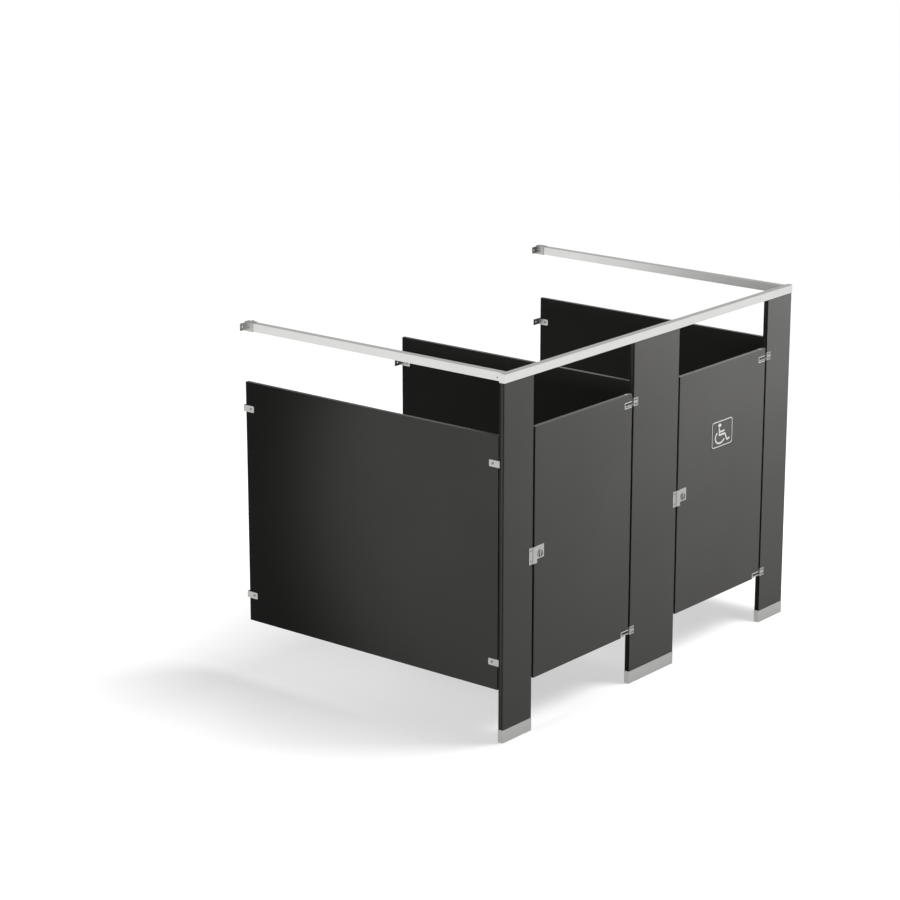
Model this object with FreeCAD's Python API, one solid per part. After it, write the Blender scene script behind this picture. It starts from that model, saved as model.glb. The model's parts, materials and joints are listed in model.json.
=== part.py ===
import FreeCAD, Part
import os
from math import cos, pi, radians, sin

V = FreeCAD.Vector

# Driving sizes, in millimetres
PANEL_T = 25.4          # doors and divider panels
PILASTER_T = 31.75
SEAM_IN = 3.5           # edge seams from the pilaster faces
SEAM_W = 4.5
SEAM_D = 4.5
END_W = 260.0           # end pilasters
MIDDLE_W = 450.0        # middle pilaster
DOOR_W = 914.0
HINGE_GAP = 13.0        # door edge to pilaster, hinge side
LATCH_GAP = 22.0        # door edge to pilaster, latch side
FLOOR_GAP = 306.0       # floor to underside of doors and panels
PANEL_H = 1468.0
PANEL_LEN = 1872.0
FRONT_GAP = 10.0        # panel edge to back of pilaster
WALL_GAP = 18.0         # panel edge to wall plane
PANEL_INSET = 3.0       # outer face of end panels inside the pilaster edge
EDGE_R = 1.0            # eased edges of the boards

# Clearances
FIT = 0.3               # round part in a plain hole
SLIP = 0.25             # flat part in a pocket
RUN = 0.05              # radial running fit of a turning part
AXIAL = 0.1             # end play of a turning part

# Shoes, floor bars and levelling studs
SHOE_H = 76.0
SHOE_T = 2.0
SHOE_CORNER = 4.0       # outside corner radius
PILASTER_Z0 = 50.0      # underside of the pilaster boards
BAR_L = 170.0
BAR_W = 26.0
BAR_T = 8.0
BAR_PITCH = 60.0        # floor anchor holes
ANCHOR_R = 4.5
STUD_PITCH = 130.0
STUD_R = 5.0
STUD_DEPTH = 60.0       # stud length inside the pilaster
STUD_SPARE = 2.0        # hole past the stud end
NUT_FLATS = 16.0
NUT_H = 8.0

# Headrail section
RAIL_Z = 2075.0         # underside
RAIL_FACE = 48.5        # upright part of the sides
RAIL_BEVEL_H = 2.5
RAIL_BEVEL_W = 2.5
RAIL_WALL = 2.4
RAIL_WEB_Z = 37.0       # height of the open channel
RAIL_OVER = 1.0         # rail past the pilaster edge
CAP_T = 2.5
CAP_PLUG = 15.0
RETURN_INSET = 24.0     # outer face of return rail inside the pilaster edge
CORNER_T = 3.0
CORNER_LEG = 50.0
CORNER_PITCH = 15.0     # corner bracket screws apart
CORNER_SCREW_IN = 15.0  # cheek screws from the leg ends
RAIL_SCREW_UP = 13.0    # pilaster screws above the rail underside
RAIL_SCREW_PITCH = 110.0
SLEEVE_T = 2.0
SLEEVE_LEN = 65.0
WALL_PLATE_T = 3.0
RAIL_EAR = 40.0
RAIL_EAR_H = 44.0
RAIL_EAR_R = 8.0

# Panel brackets
BRACKET_T = 2.5
BRACKET_H = 39.0
BRACKET_CORNER = 7.0    # corner radius of the legs
BRACKET_LEG = 63.0      # cover on the panel
BRACKET_EDGE = 160.0    # bracket centre to panel top and bottom
EAR_W = 50.0
BOLT_R = 3.0
BOLT_BACK = 38.0        # through bolt behind the panel edge
BOLT_HEAD_R = 7.0
BOLT_HEAD_H = 3.0

# Hinges
PIVOT_INSET = 44.0      # pin axis to door edge
PIN_R = 5.0
PIN_HEAD_R = 9.0
PIN_HEAD_H = 2.0
PIN_TAIL = 20.0         # upper pin below its notch
PIN_LOWER = 40.0        # lower pin inside the door
PIN_SPARE = 1.0         # hole past the pin end
HINGE_T = 3.0
HINGE_PLATE_W = 38.0
HINGE_PLATE_H = 50.0
HINGE_SCREW_ROWS = 25.0 # screw rows apart
HINGE_SCREW_NEAR = 11.0 # front screws from the pilaster edge
HINGE_SCREW_FAR = 28.0
HINGE_SCREW_BACK = 20.0 # back screws from the pilaster edge
LUG_W = 22.0
LUG_H = 9.0
CAM_RISE = 13.0         # extra height of the bush that carries the door
LUG_DROP = 10.0         # centre of lug and bush below plate centre
UPPER_LUG = 62.0        # centre of lug and bush below door top
LOWER_LUG = 17.0        # centre of lug and bush above door underside
NOTCH_D = 70.0
LINER_T = 4.0
LINER_PLAY = 0.5
BUSH_R = 8.0
BUSH_FLANGE_R = 11.0
BUSH_FLANGE_T = 2.5

# Latch and keeper
SPINDLE_Z = 1032.0
SPINDLE_X = 52.0        # spindle axis from the door edge
SPINDLE_R = 6.0
SPINDLE_SQUARE = 8.0
BOLT_TRAVEL = 26.0
LATCH_TURN = 90.0       # degrees from open to shut
CRANK_PIN_R = 3.0
CRANK_HUB_R = 8.0
CRANK_TIP_R = 5.0
BOLT_OUT = 6.0          # bolt nose past the door edge when open
BOLT_NOSE_L = 42.0
BOLT_H = 18.0
BOLT_T = 8.0
BOLT_RISE = 17.5        # bolt centre above the spindle
FORK_PLAY = 0.9         # room beside the crank pin
FORK_WALL = 4.0
NOSE_R = 1.5
POCKET_L = 77.0
POCKET_DOWN = 14.0
POCKET_UP = 30.0
POCKET_T = 16.0
CASE_WALL = 1.5
PLATE_T = 2.0
PLATE_X = 8.0           # latch plate from the door edge
PLATE_W = 78.0
PLATE_H = 78.0
PLATE_DOWN = 27.0
PLATE_MARGIN = 6.0
PLATE_R = 3.0
POST_R = 3.5
DISH_R = 23.5           # turning dish outside
DISH_IN = 3.5           # back of the dish inside the door face
DISH_OUT = 2.5          # rim in front of the plate
DISH_WALL = 2.5
DISH_FLOOR = 1.2
DISH_EDGE_R = 0.4
GRIP_W = 7.0            # upright grip across the dish
TURN_HUB_R = 14.0
TURN_HUB_H = 10.0
TURN_L = 52.0
TURN_T = 9.0
TURN_H = 26.0
KEEPER_T = 3.0
KEEPER_W = 33.0         # cover on the pilaster
KEEPER_H = 98.0
KEEPER_DOWN = 45.0      # keeper underside below the spindle
KEEPER_STEP = 4.0       # lip stands forward of the plate
KEEPER_LIP = 14.0       # lip over the door face
STRIKE_D = 16.0         # depth of the bolt pocket in the pilaster
STRIKE_ROOM = 2.5       # room round the bolt in that pocket
KEEPER_ROOM = 1.5       # room round the bolt in the keeper
KEEPER_EDGE_R = 1.2
KEEPER_SCREW_IN = 18.0  # screws from the pilaster edge
KEEPER_SCREW_END = 19.0 # screws from the keeper ends
BUMPER_W = 6.0
BUMPER_H = 66.0
BUMPER_IN = 1.0         # strip from the door edge
BUMPER_R = 1.5

# Coat hook and sign
HOOK_X = 140.0          # from the latch edge
HOOK_DOWN = 134.0       # base centre below the door top
HOOK_W = 36.0
HOOK_H = 70.0
HOOK_T = 3.0
HOOK_CORNER = 6.0
HOOK_SCREW_END = 8.0    # screws from the base ends
HOOK_R = 5.0
HOOK_DROP = 14.0        # hook arm below the base centre
HOOK_REACH = 24.0
HOOK_BEND = 12.0
HOOK_RISE = 6.0
PRONG_R = 6.0
PRONG_UP = 12.0         # prong above the base centre
PRONG_L = 58.0
TIP_R = 11.0
TIP_L = 12.0
SIGN_W = 219.0
SIGN_H = 161.0
SIGN_T = 2.0
SIGN_Z = 1337.0
SIGN_R = 20.0
SIGN_LINE = 5.0
SIGN_RAISE = 0.8
STROKE = 11.0           # bars of the figure
HEAD_W = 34.0
HEAD_H = 22.0
WHEEL_W = 112.0
WHEEL_H = 86.0
WHEEL_SLOPE = 0.36      # fall of the wheel's open side

# Points of the sign figure, right and up from the middle of the sign
HEAD = (-27.0, 53.0)
NECK = (-32.0, 35.0)
SHOULDER = (-30.0, 11.0)
HAND = (20.0, 13.0)
HIP = (-30.0, -8.0)
KNEE = (29.0, -7.0)
HEEL = (55.0, -51.0)
TOE = (78.0, -45.0)
WHEEL = (-22.0, -21.0)

# Screws: shank radius, shank length, head radius, head height
BOARD_SCREW = (2.5, 18.0, 4.8, 2.6)
RAIL_SCREW = (2.0, 9.0, 3.8, 2.2)
PLATE_SCREW = (1.8, 14.0, 3.4, 2.0)

# Derived places
OPENING = HINGE_GAP + DOOR_W + LATCH_GAP
HALF_W = MIDDLE_W / 2 + OPENING + END_W
PIL_F = -PILASTER_T / 2
PIL_B = PILASTER_T / 2
DOOR_F = -PANEL_T / 2
DOOR_B = PANEL_T / 2
PANEL_Y0 = PIL_B + FRONT_GAP
PANEL_Y1 = PANEL_Y0 + PANEL_LEN
WALL_Y = PANEL_Y1 + WALL_GAP
PANEL_Z0 = FLOOR_GAP
PANEL_Z1 = FLOOR_GAP + PANEL_H
PANEL_X = HALF_W - PANEL_INSET - PANEL_T / 2
BRACKET_ZS = (PANEL_Z0 + BRACKET_EDGE, PANEL_Z1 - BRACKET_EDGE)
CHANNEL_W = PILASTER_T + 2 * SLIP
RAIL_W = CHANNEL_W + 2 * RAIL_WALL
RAIL_TOP = RAIL_Z + RAIL_FACE + RAIL_BEVEL_H
PILASTER_Z1 = RAIL_Z + RAIL_WEB_Z
RAIL_END = HALF_W + RAIL_OVER
RETURN_X = HALF_W - RETURN_INSET - RAIL_W / 2
RETURN_Y1 = WALL_Y - WALL_PLATE_T
HINGE_EDGES = {"left": -MIDDLE_W / 2, "right": MIDDLE_W / 2 + OPENING}
UPPER_LUG_Z = PANEL_Z1 - UPPER_LUG
LOWER_LUG_Z = PANEL_Z0 + LOWER_LUG
LUG_ZS = {"upper": UPPER_LUG_Z, "lower": LOWER_LUG_Z}
STACK_H = LUG_H + CAM_RISE
LINER_IN = STACK_H + 2 * BUSH_FLANGE_T + 2 * LINER_PLAY
LOWER_SEAT = LOWER_LUG_Z + STACK_H / 2 + BUSH_FLANGE_T + AXIAL
CRANK_R = BOLT_TRAVEL / 2 / sin(radians(LATCH_TURN / 2))
BOLT_Z = SPINDLE_Z + BOLT_RISE
HOOK_Z = PANEL_Z1 - HOOK_DOWN
KEEPER_Z = SPINDLE_Z - KEEPER_DOWN
PILASTERS = {
    "left": (-HALF_W, -HALF_W + END_W),
    "middle": (-MIDDLE_W / 2, MIDDLE_W / 2),
    "right": (HALF_W - END_W, HALF_W),
}
PANELS = {"left": -PANEL_X, "middle": 0.0, "right": PANEL_X}
EARS = {"left": (1,), "middle": (-1, 1), "right": (-1,)}


def box(x0, x1, y0, y1, z0, z1):
    """Box between two corners given per axis."""
    return Part.makeBox(x1 - x0, y1 - y0, z1 - z0, V(x0, y0, z0))


def rod(r, length, point, axis):
    """Round bar from a point along an axis."""
    return Part.makeCylinder(r, length, point, axis)


def prism(points, way):
    """Straight-sided solid from a closed outline swept along a vector."""
    return Part.Face(Part.makePolygon(points + points[:1])).extrude(way)


def join(shapes):
    """One solid from touching shapes."""
    return shapes[0].multiFuse(shapes[1:]).removeSplitter()


def cut(shape, tools):
    """Shape with every tool taken out of it."""
    return shape.cut(tools) if tools else shape


def ease(shape, r, keep):
    """Round the edges that the test picks."""
    edges = [e for e in shape.Edges if keep(e)]
    return shape.makeFillet(r, edges) if edges else shape


def along(edge, axis):
    """True for a straight edge parallel to an axis."""
    if not isinstance(edge.Curve, Part.Line):
        return False
    return abs(edge.tangentAt(edge.FirstParameter).dot(axis)) > 0.999


def put(shape, point, axis):
    """Copy of a shape built along +Z, stood at a point along an axis."""
    moved = shape.copy()
    moved.Placement = FreeCAD.Placement(point, FreeCAD.Rotation(V(0, 0, 1), axis))
    return moved


def screw(kind):
    """Round-head screw, seat at the origin, shank along +Z, socket in the head."""
    r, length, head_r, head_h = kind
    head = rod(head_r, head_h, V(0, 0, 0), V(0, 0, -1))
    head = ease(head, head_h * 0.6, lambda e: abs(e.CenterOfMass.z + head_h) < 0.01)
    key = head_r * 0.5
    hexagon = [V(key * cos(i * pi / 3), key * sin(i * pi / 3), -head_h) for i in range(6)]
    body = join([head, rod(r, length, V(0, 0, 0), V(0, 0, 1))])
    return body.cut(prism(hexagon, V(0, 0, head_h * 0.6)))


def screws(kind, spots):
    """One screw at every (seat, direction) spot."""
    one = screw(kind)
    return [put(one, point, axis) for point, axis in spots]


def drills(kind, spots, deeper=1.0):
    """Plain holes for screws at the spots."""
    return [rod(kind[0] + FIT, kind[1] + deeper, point, axis) for point, axis in spots]


def board(x0, x1, y0, y1, z0, z1):
    """Flat board with eased edges."""
    body = box(x0, x1, y0, y1, z0, z1)
    return body.makeFillet(EDGE_R, body.Edges)


# Places of the fasteners


def hinge_plate_z(which):
    """Centre height of a hinge plate."""
    return LUG_ZS[which] + LUG_DROP


def hinge_spots(x):
    """Hinge screws, front and back plates of both hinges at a pilaster edge."""
    spots = []
    for which in LUG_ZS:
        for dz in (-1, 1):
            z = hinge_plate_z(which) + dz * HINGE_SCREW_ROWS / 2
            for inset in (HINGE_SCREW_NEAR, HINGE_SCREW_FAR):
                spots.append((V(x + inset, PIL_F - HINGE_T, z), V(0, 1, 0)))
            spots.append((V(x + HINGE_SCREW_BACK, PIL_B + HINGE_T, z), V(0, -1, 0)))
    return spots


def keeper_spots(x):
    """Keeper screws beside a pilaster edge."""
    heights = (KEEPER_Z + KEEPER_SCREW_END, KEEPER_Z + KEEPER_H - KEEPER_SCREW_END)
    return [(V(x - KEEPER_SCREW_IN, PIL_F - KEEPER_T, z), V(0, 1, 0)) for z in heights]


def ear_x(x, side):
    """Hole centre of a bracket ear."""
    return x + side * (PANEL_T / 2 + BRACKET_T + EAR_W / 2)


def ear_spots(name):
    """Screws of the pilaster-side bracket ears of one panel."""
    return [
        (V(ear_x(PANELS[name], side), PIL_B + BRACKET_T, z), V(0, -1, 0))
        for z in BRACKET_ZS for side in EARS[name]
    ]


def head_spots(name):
    """Screws through the back of the front headrail into one pilaster."""
    x0, x1 = PILASTERS[name]
    z = RAIL_Z + RAIL_SCREW_UP
    mid = (x0 + x1) / 2
    return [(V(mid + s * RAIL_SCREW_PITCH / 2, RAIL_W / 2, z), V(0, -1, 0)) for s in (-1, 1)]


def corner_spots(side):
    """Screws through a corner bracket into the front headrail and pilaster."""
    y = RAIL_W / 2 + CORNER_T
    mid = RAIL_Z + RAIL_WEB_Z / 2
    heights = (mid - CORNER_PITCH / 2, mid + CORNER_PITCH / 2)
    return [(V(side * RETURN_X, y, z), V(0, -1, 0)) for z in heights]


def cheek_spots(side):
    """Screws through the return rail into the corner bracket cheeks."""
    y = RAIL_W / 2 + CORNER_LEG - CORNER_SCREW_IN
    z = RAIL_Z + RAIL_WEB_Z / 2
    return [(V(side * RETURN_X + s * RAIL_W / 2, y, z), V(-s, 0, 0)) for s in (-1, 1)]


def sleeve_spots(side):
    """Screws through the wall sleeve into the return rail."""
    y = WALL_Y - SLEEVE_LEN / 2
    z = RAIL_Z + RAIL_WEB_Z / 2
    reach = RAIL_W / 2 + SLIP + SLEEVE_T
    return [(V(side * RETURN_X + s * reach, y, z), V(-s, 0, 0)) for s in (-1, 1)]


def latch_spots(x):
    """Screws through the inside latch plate into the posts, door edge at x."""
    xs = (x + PLATE_X + PLATE_MARGIN, x + PLATE_X + PLATE_W - PLATE_MARGIN)
    zs = (SPINDLE_Z - PLATE_DOWN + PLATE_MARGIN, SPINDLE_Z - PLATE_DOWN + PLATE_H - PLATE_MARGIN)
    return [(V(px, DOOR_B + PLATE_T, pz), V(0, -1, 0)) for px in xs for pz in zs]


def hook_spots(x):
    """Screws of the coat hook base, door edge at x."""
    reach = HOOK_H / 2 - HOOK_SCREW_END
    return [(V(x + HOOK_X, DOOR_B + HOOK_T, HOOK_Z + s * reach), V(0, -1, 0)) for s in (-1, 1)]


# Standing frame


def stud_xs(name):
    """Levelling stud centres of one pilaster."""
    mid = sum(PILASTERS[name]) / 2
    return [mid - STUD_PITCH / 2, mid + STUD_PITCH / 2]


def edge_seams(x0, x1):
    """Grooves down both edges of a pilaster, where face sheets meet the edge strip."""
    found = []
    for x in (x0, x1 - SEAM_D):
        for y in (PIL_F + SEAM_IN, PIL_B - SEAM_IN - SEAM_W):
            found.append(box(x, x + SEAM_D, y, y + SEAM_W, PILASTER_Z0, PILASTER_Z1))
    return found


def pilaster(name):
    """One pilaster board with its seams, holes and strike pocket."""
    x0, x1 = PILASTERS[name]
    body = board(x0, x1, PIL_F, PIL_B, PILASTER_Z0, PILASTER_Z1)
    deep = STUD_DEPTH + STUD_SPARE
    tools = [rod(STUD_R + FIT, deep, V(x, 0, PILASTER_Z0), V(0, 0, 1)) for x in stud_xs(name)]
    tools += edge_seams(x0, x1)
    tools += drills(BOARD_SCREW, ear_spots(name))
    tools += drills(RAIL_SCREW, head_spots(name))
    if name != "left":
        tools += drills(BOARD_SCREW, hinge_spots(x0))
    if name != "right":
        tools += drills(BOARD_SCREW, keeper_spots(x1))
        half_y, half_z = BOLT_T / 2 + STRIKE_ROOM, BOLT_H / 2 + STRIKE_ROOM
        tools.append(box(x1 - STRIKE_D, x1, -half_y, half_y, BOLT_Z - half_z, BOLT_Z + half_z))
    if name != "middle":
        tools += drills(RAIL_SCREW, corner_spots(-1 if name == "left" else 1))
    return cut(body, tools)


def shoe(name):
    """Stainless shoe around the foot of one pilaster."""
    x0, x1 = PILASTERS[name]
    g = SLIP
    t = SLIP + SHOE_T
    body = box(x0 - t, x1 + t, PIL_F - t, PIL_B + t, 0, SHOE_H)
    body = ease(body, SHOE_CORNER, lambda e: along(e, V(0, 0, 1)))
    return body.cut(box(x0 - g, x1 + g, PIL_F - g, PIL_B + g, 0, SHOE_H))


def foot_bar(name):
    """Floor bar with two anchor holes and two stud holes."""
    mid = sum(PILASTERS[name]) / 2
    body = box(mid - BAR_L / 2, mid + BAR_L / 2, -BAR_W / 2, BAR_W / 2, 0, BAR_T)
    up = V(0, 0, 1)
    tools = [rod(ANCHOR_R, BAR_T, V(mid + s * BAR_PITCH / 2, 0, 0), up) for s in (-1, 1)]
    tools += [rod(STUD_R + FIT, BAR_T, V(x, 0, 0), up) for x in stud_xs(name)]
    return cut(body, tools)


def studs(name):
    """Levelling studs of one pilaster."""
    length = PILASTER_Z0 + STUD_DEPTH
    return [rod(STUD_R, length, V(x, 0, 0), V(0, 0, 1)) for x in stud_xs(name)]


def nut(x, z):
    """Hexagon nut on a stud."""
    r = NUT_FLATS / 3 ** 0.5
    outline = [V(x + r * cos(i * pi / 3), r * sin(i * pi / 3), z) for i in range(6)]
    return prism(outline, V(0, 0, NUT_H)).cut(rod(STUD_R + FIT, NUT_H, V(x, 0, z), V(0, 0, 1)))


def nuts(name):
    """Clamp nut on the bar and levelling nut under the board, per stud."""
    return [nut(x, z) for x in stud_xs(name) for z in (BAR_T, PILASTER_Z0 - NUT_H)]


def panel(name):
    """One divider panel drilled for its through bolts."""
    x = PANELS[name]
    body = board(x - PANEL_T / 2, x + PANEL_T / 2, PANEL_Y0, PANEL_Y1, PANEL_Z0, PANEL_Z1)
    holes = [rod(BOLT_R + FIT, PANEL_T, V(x - PANEL_T / 2, y, z), V(1, 0, 0))
             for y in bolt_ys() for z in BRACKET_ZS]
    return cut(body, holes)


def bolt_ys():
    """Through bolt places along a panel."""
    return (PANEL_Y0 + BOLT_BACK, PANEL_Y1 - BOLT_BACK)


def panel_bracket(name, z, plane, way, gap, hole_r):
    """Folded bracket that holds a panel edge off a plane."""
    x = PANELS[name]
    inner = PANEL_T / 2
    outer = inner + BRACKET_T
    z0, z1 = z - BRACKET_H / 2, z + BRACKET_H / 2
    far = plane + way * (gap + BRACKET_LEG)
    base = plane + way * BRACKET_T
    ys = sorted((plane, far))
    bases = sorted((plane, base))
    parts = [box(x - outer, x - inner, ys[0], ys[1], z0, z1),
             box(x + inner, x + outer, ys[0], ys[1], z0, z1),
             box(x - outer, x + outer, bases[0], bases[1], z0, z1)]
    for side in EARS[name]:
        xs = sorted((x + side * outer, x + side * (outer + EAR_W)))
        parts.append(box(xs[0], xs[1], bases[0], bases[1], z0, z1))
    body = join(parts)
    corner = lambda e: along(e, V(1, 0, 0)) and abs(e.CenterOfMass.y - far) < 0.01
    tools = [rod(hole_r, BRACKET_T, V(ear_x(x, s), plane, z), V(0, way, 0)) for s in EARS[name]]
    y = far - way * (BRACKET_LEG - BOLT_BACK)
    tools.append(rod(BOLT_R + FIT, 2 * outer, V(x - outer, y, z), V(1, 0, 0)))
    return cut(ease(body, BRACKET_CORNER, corner), tools)


def through_bolt(x, y, z):
    """Two-headed barrel bolt across a panel and both bracket legs."""
    reach = PANEL_T / 2 + BRACKET_T
    body = rod(BOLT_R, 2 * reach, V(x - reach, y, z), V(1, 0, 0))
    heads = []
    for side in (-1, 1):
        head = rod(BOLT_HEAD_R, BOLT_HEAD_H, V(x + side * reach, y, z), V(side, 0, 0))
        tip = x + side * (reach + BOLT_HEAD_H)
        heads.append(ease(head, BOLT_HEAD_H * 0.6, lambda e: abs(e.CenterOfMass.x - tip) < 0.01))
    return join([body] + heads)


# Headrail


def rail_outline(grow=0.0):
    """Outside of the rail section as (across, up) pairs, grown all round."""
    a = RAIL_W / 2 + grow
    shoulder = RAIL_Z + RAIL_FACE + grow
    top = RAIL_TOP + grow
    low = RAIL_Z - grow
    flat = a - RAIL_BEVEL_W
    return [(-a, low), (a, low), (a, shoulder), (flat, top), (-flat, top), (-a, shoulder)]


def chamber_outline(shrink=0.0):
    """Closed hollow over the channel, as (across, up) pairs."""
    low = PILASTER_Z1 + RAIL_WALL + shrink
    high = RAIL_TOP - RAIL_WALL - shrink
    a = CHANNEL_W / 2 - shrink
    b = a - RAIL_BEVEL_W
    shoulder = RAIL_Z + RAIL_FACE - RAIL_WALL * 0.5 - shrink
    return [(-a, low), (a, low), (a, shoulder), (b, high), (-b, high), (-a, shoulder)]


def swept(pairs, along_x, start, end, offset=0.0):
    """Section swept along X, or along Y at an X offset."""
    if along_x:
        return prism([V(start, u, z) for u, z in pairs], V(end - start, 0, 0))
    return prism([V(offset + u, start, z) for u, z in pairs], V(0, end - start, 0))


def rail(along_x, start, end, offset=0.0):
    """Length of headrail, open below, hollow on top."""
    a = CHANNEL_W / 2
    channel = [(-a, RAIL_Z), (a, RAIL_Z), (a, PILASTER_Z1), (-a, PILASTER_Z1)]
    body = swept(rail_outline(), along_x, start, end, offset)
    hollows = [swept(p, along_x, start, end, offset) for p in (channel, chamber_outline())]
    return cut(body, hollows)


def front_rail():
    """Front headrail over the three pilasters."""
    body = rail(True, -RAIL_END, RAIL_END)
    tools = [t for n in PILASTERS for t in drills(RAIL_SCREW, head_spots(n))]
    tools += [t for s in (-1, 1) for t in drills(RAIL_SCREW, corner_spots(s))]
    return cut(body, tools)


def return_rail(side):
    """Side headrail from the front rail to the wall."""
    body = rail(False, RAIL_W / 2, RETURN_Y1, side * RETURN_X)
    return cut(body, drills(RAIL_SCREW, cheek_spots(side)) + drills(RAIL_SCREW, sleeve_spots(side)))


def corner_bracket(side):
    """Channel piece inside the return rail, screwed to the front rail."""
    x = side * RETURN_X
    a = CHANNEL_W / 2 - SLIP
    y0 = RAIL_W / 2
    z0, z1 = RAIL_Z + CORNER_T, PILASTER_Z1 - SLIP
    body = box(x - a, x + a, y0, y0 + CORNER_LEG, z0, z1)
    inner = a - CORNER_T
    body = body.cut(box(x - inner, x + inner, y0 + CORNER_T, y0 + CORNER_LEG, z0, z1))
    return cut(body, drills(RAIL_SCREW, corner_spots(side)) + drills(RAIL_SCREW, cheek_spots(side)))


def end_cap(side):
    """Cap on one end of the front headrail with a plug in its hollow."""
    end = side * RAIL_END
    plate = swept(rail_outline(), True, end, end + side * CAP_T)
    plug = swept(chamber_outline(SLIP), True, end - side * CAP_PLUG, end)
    return join([plate, plug])


def wall_sleeve(side):
    """Wall plate with two ears and a sleeve over the return rail."""
    x = side * RETURN_X
    y0 = WALL_Y - SLEEVE_LEN
    outside = rail_outline(SLIP + SLEEVE_T)
    tube = swept(outside, False, y0, WALL_Y, x)
    tube = tube.cut(swept(rail_outline(SLIP), False, y0, RETURN_Y1, x))
    reach = RAIL_W / 2 + SLIP + SLEEVE_T + RAIL_EAR
    z = RAIL_Z + RAIL_FACE / 2
    plate = box(x - reach, x + reach, RETURN_Y1, WALL_Y, z - RAIL_EAR_H / 2, z + RAIL_EAR_H / 2)
    plate = ease(plate, RAIL_EAR_R, lambda e: along(e, V(0, 1, 0)))
    holes = [rod(ANCHOR_R, WALL_PLATE_T, V(x + s * (reach - RAIL_EAR / 2), RETURN_Y1, z), V(0, 1, 0))
             for s in (-1, 1)]
    return cut(join([tube, plate]), holes + drills(RAIL_SCREW, sleeve_spots(side)))


# Doors and hinges, placed from the pilaster edge on the hinge side


def pivot_x(x):
    """Hinge axis for a pilaster edge at x."""
    return x - HINGE_GAP - PIVOT_INSET


def latch_edge(x):
    """Free edge of the door hung on the pilaster edge at x."""
    return x - HINGE_GAP - DOOR_W


def notch(x, which):
    """Space taken out of the door for one hinge liner."""
    edge = x - HINGE_GAP
    if which == "upper":
        half = LINER_IN / 2 + LINER_T
        z0, z1 = UPPER_LUG_Z - half, UPPER_LUG_Z + half
    else:
        z0, z1 = PANEL_Z0, LOWER_SEAT + LINER_T
    return box(edge - NOTCH_D, edge, DOOR_F, DOOR_B, z0, z1)


def pin_spans():
    """Bottom and length of the upper and lower hinge pins."""
    low = UPPER_LUG_Z - LINER_IN / 2 - LINER_T - PIN_TAIL
    foot = LOWER_LUG_Z - STACK_H / 2 - BUSH_FLANGE_T - AXIAL
    top = LOWER_SEAT + LINER_T + PIN_LOWER
    return {"upper": (low, PANEL_Z1 - low), "lower": (foot, top - foot)}


def pin_holes(x):
    """Plain holes for both hinge pins."""
    up = V(0, 0, 1)
    lows = {"upper": PIN_SPARE, "lower": 0.0}
    return [rod(PIN_R + FIT, length + PIN_SPARE, V(pivot_x(x), 0, z - lows[which]), up)
            for which, (z, length) in pin_spans().items()]


def hinge_pins(x):
    """Upper pin let in from the door top, lower pin from below, each with a head."""
    at = pivot_x(x)
    pins = []
    for which, (z, length) in pin_spans().items():
        shank = rod(PIN_R, length, V(at, 0, z), V(0, 0, 1))
        seat = PANEL_Z1 if which == "upper" else z
        way = V(0, 0, 1) if which == "upper" else V(0, 0, -1)
        pins.append(join([shank, rod(PIN_HEAD_R, PIN_HEAD_H, V(at, 0, seat), way)]))
    return pins


def hinge_liner(x, which):
    """Metal lining of one hinge notch."""
    edge = x - HINGE_GAP
    inner = edge - NOTCH_D + LINER_T
    if which == "upper":
        z0, z1 = UPPER_LUG_Z - LINER_IN / 2, UPPER_LUG_Z + LINER_IN / 2
    else:
        z0, z1 = PANEL_Z0, LOWER_SEAT
    body = notch(x, which).cut(box(inner, edge, DOOR_F, DOOR_B, z0, z1))
    return cut(body, pin_holes(x))


def hinge_bracket(x, which):
    """Plate wrapped round the pilaster edge with a bored lug."""
    z = hinge_plate_z(which)
    z0, z1 = z - HINGE_PLATE_H / 2, z + HINGE_PLATE_H / 2
    wrap = box(x - HINGE_T, x + HINGE_PLATE_W, PIL_F - HINGE_T, PIL_B + HINGE_T, z0, z1)
    wrap = wrap.cut(box(x, x + HINGE_PLATE_W, PIL_F, PIL_B, z0, z1))
    wrap = ease(wrap, HINGE_T * 0.6, lambda e: along(e, V(0, 0, 1)) and e.CenterOfMass.x < x - 0.1)
    at = pivot_x(x)
    base = LUG_ZS[which] - STACK_H / 2
    arm = box(at, x - HINGE_T / 2, -LUG_W / 2, LUG_W / 2, base, base + LUG_H)
    nose = rod(LUG_W / 2, LUG_H, V(at, 0, base), V(0, 0, 1))
    bore = rod(BUSH_R + FIT, LUG_H, V(at, 0, base), V(0, 0, 1))
    return cut(join([wrap, arm, nose]), [bore] + drills(BOARD_SCREW, hinge_spots(x)))


def hinge_bushes(x, which):
    """Flanged bush under the lug and a tall one on it."""
    at = pivot_x(x)
    base = LUG_ZS[which] - STACK_H / 2
    found = []
    for side, z, tall in ((-1, base, BUSH_FLANGE_T), (1, base + LUG_H, BUSH_FLANGE_T + CAM_RISE)):
        face = V(at, 0, z)
        sleeve = rod(BUSH_R, LUG_H / 2 - AXIAL, face, V(0, 0, -side))
        flange = rod(BUSH_FLANGE_R, tall, face, V(0, 0, side))
        outer = face + V(0, 0, side * tall)
        bore = rod(PIN_R + RUN, LUG_H / 2 + tall, outer, V(0, 0, -side))
        found.append(join([sleeve, flange]).cut(bore))
    return found


def latch_pocket(x, play=0.0):
    """Mortise in the door edge at x, shrunk by the play."""
    half = POCKET_T / 2 - play
    z0, z1 = SPINDLE_Z - POCKET_DOWN + play, SPINDLE_Z + POCKET_UP - play
    return box(x, x + POCKET_L - play, -half, half, z0, z1)


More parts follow.
